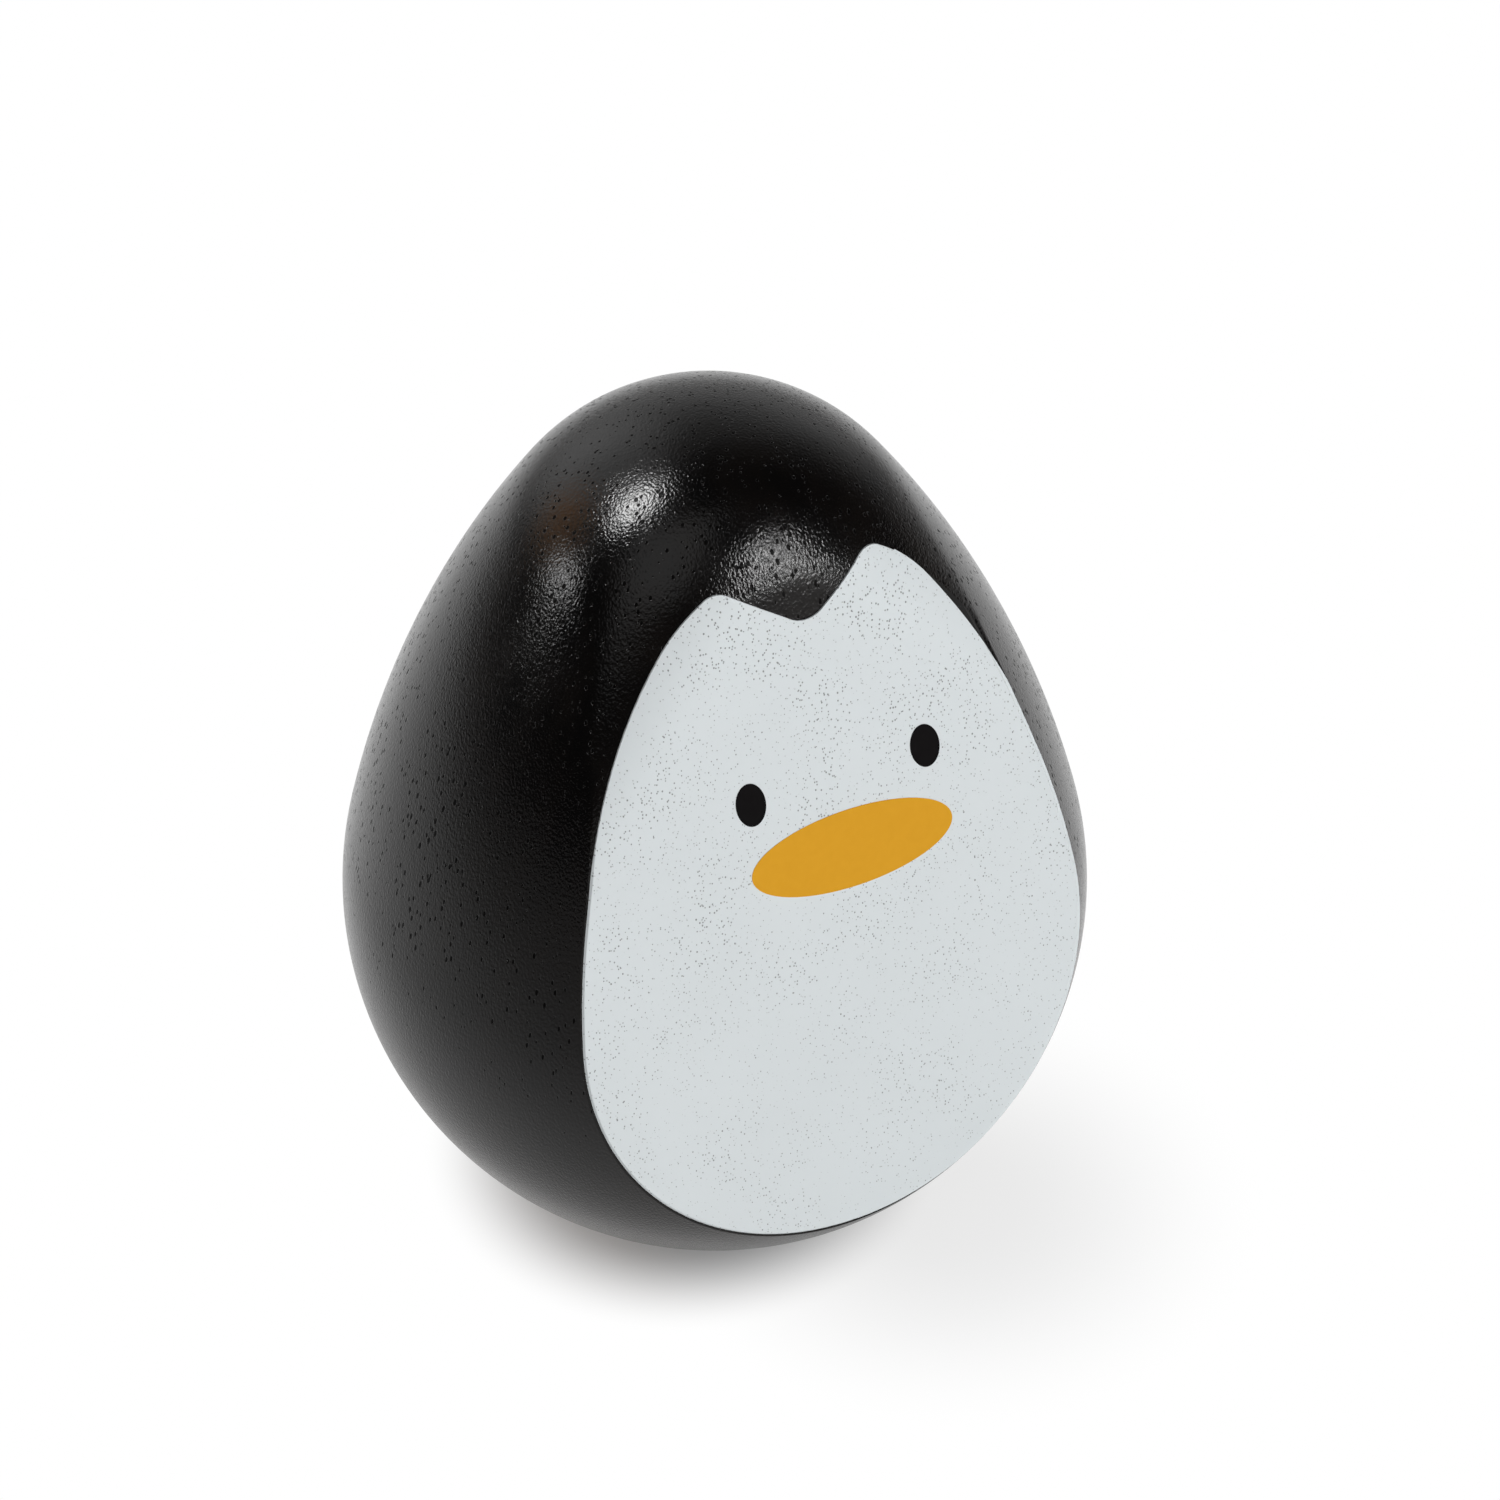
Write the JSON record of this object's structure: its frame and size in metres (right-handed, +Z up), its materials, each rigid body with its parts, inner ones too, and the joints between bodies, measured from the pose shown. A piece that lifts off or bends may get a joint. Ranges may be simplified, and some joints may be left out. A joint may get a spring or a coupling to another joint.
{
  "type": "roly poly toy",
  "caption": "Weighted wooden egg with a flat painted penguin face that rocks on its round base and stands up again.",
  "frame": {"origin": "the middle of the small flat under the round base, on the axis that the egg is turned about", "axes": "+Z up along the egg's axis; the flat face looks towards -Y and leans back; +X is to the right of someone who looks at the face"},
  "size_m": [0.0628, 0.0574, 0.08],
  "materials": {
    "black_lacquer": "satin black lacquer with open pores",
    "plug_lacquer": "satin black lacquer with open pores",
    "steel": "turned",
    "white_paint": "satin paint",
    "black_ink": "printed",
    "orange_ink": "printed"
  },
  "bodies": {
    "root": {"body": "black_lacquer", "ballast": "steel", "base_plug": "plug_lacquer", "face_coat": "white_paint", "left_eye": "black_ink", "right_eye": "black_ink", "beak": "orange_ink"}
  },
  "joints": []
}
